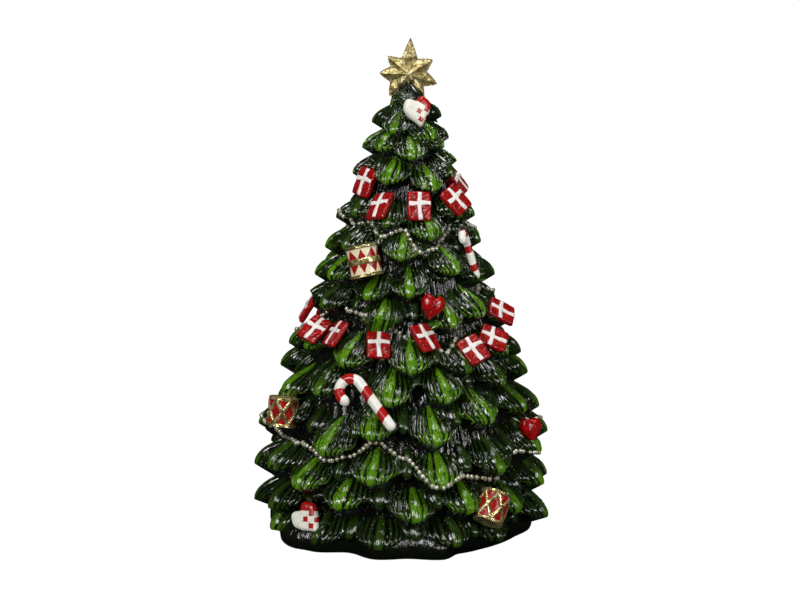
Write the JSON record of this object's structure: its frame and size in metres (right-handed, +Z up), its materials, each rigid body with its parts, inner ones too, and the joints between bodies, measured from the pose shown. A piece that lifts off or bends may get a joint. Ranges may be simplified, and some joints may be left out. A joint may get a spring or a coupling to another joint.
{
  "type": "lighted christmas tree figurine",
  "caption": "Cast table-top Christmas tree with drooping boughs, star, small ornaments and bead garlands, lit from inside by a battery base.",
  "frame": {"origin": "on the table, at the middle of the tree's foot", "axes": "+Z up to the star, the front faces -Y, +X to the right of someone who looks at the front"},
  "size_m": [0.135, 0.1338, 0.23],
  "materials": {
    "resin_green": "painted and lacquered cast resin, near-black green with brighter dry-brushed ribs",
    "gold_leaf": "gold leaf paint over resin, slightly mottled",
    "flag_enamel": "red enamel with a white raised cross",
    "drum_enamel": "red enamel, gold rims and cords",
    "heart_enamel": "glossy red enamel",
    "woven_enamel": "white enamel with red squares",
    "cane_enamel": "white enamel with red bands",
    "bead_metal": "silver-gold painted beads",
    "lamp_lens": "clear warm epoxy",
    "wire_sleeve": "green wire sleeve",
    "plate_plastic": "fine-textured black moulding",
    "cell_wrap": "plain printed wrap",
    "contact_steel": "nickel plating"
  },
  "bodies": {
    "root": {"base_plate": "plate_plastic", "battery_cell_1": "cell_wrap", "battery_cell_2": "cell_wrap", "battery_cell_3": "cell_wrap", "candy_cane_1": "cane_enamel", "candy_cane_2": "cane_enamel", "contact_plate_1": "contact_steel", "contact_plate_2": "contact_steel", "contact_plate_3": "contact_steel", "contact_spring_1": "contact_steel", "contact_spring_2": "contact_steel", "contact_spring_3": "contact_steel", "drum_1": "drum_enamel", "drum_2": "drum_enamel", "drum_3": "drum_enamel", "drum_4": "drum_enamel", "flag_lower_1": "flag_enamel", "flag_lower_10": "flag_enamel", "flag_lower_11": "flag_enamel", "flag_lower_12": "flag_enamel", "flag_lower_2": "flag_enamel", "flag_lower_3": "flag_enamel", "flag_lower_4": "flag_enamel", "flag_lower_5": "flag_enamel", "flag_lower_6": "flag_enamel", "flag_lower_7": "flag_enamel", "flag_lower_8": "flag_enamel", "flag_lower_9": "flag_enamel", "flag_upper_1": "flag_enamel", "flag_upper_2": "flag_enamel", "flag_upper_3": "flag_enamel", "flag_upper_4": "flag_enamel", "flag_upper_5": "flag_enamel", "flag_upper_6": "flag_enamel", "flag_upper_7": "flag_enamel", "flag_upper_8": "flag_enamel", "garland_low": "bead_metal", "garland_middle": "bead_metal", "garland_top": "bead_metal", "heart_1": "heart_enamel", "heart_2": "heart_enamel", "heart_3": "heart_enamel", "led_1": "lamp_lens", "led_2": "lamp_lens", "led_3": "lamp_lens", "led_4": "lamp_lens", "light_string": "wire_sleeve", "plate_screw_1": "contact_steel", "plate_screw_2": "contact_steel", "plate_screw_3": "contact_steel", "star_topper": "gold_leaf", "switch_body": "contact_steel", "tree_casting": "resin_green", "woven_heart_1": "woven_enamel", "woven_heart_2": "woven_enamel"},
    "door": {"battery_door": "plate_plastic"},
    "knob": {"switch_knob": "plate_plastic"}
  },
  "joints": [
    {"name": "door_hinge", "type": "hinge", "parent": "root", "child": "door", "pos_m": [0, 0.0256, 0.001], "axis": [1, 0, 0], "range_deg": [0, 75]},
    {"name": "knob_slide", "type": "slide", "parent": "root", "child": "knob", "axis": [1, 0, 0], "range_m": [0, 0.004]}
  ]
}
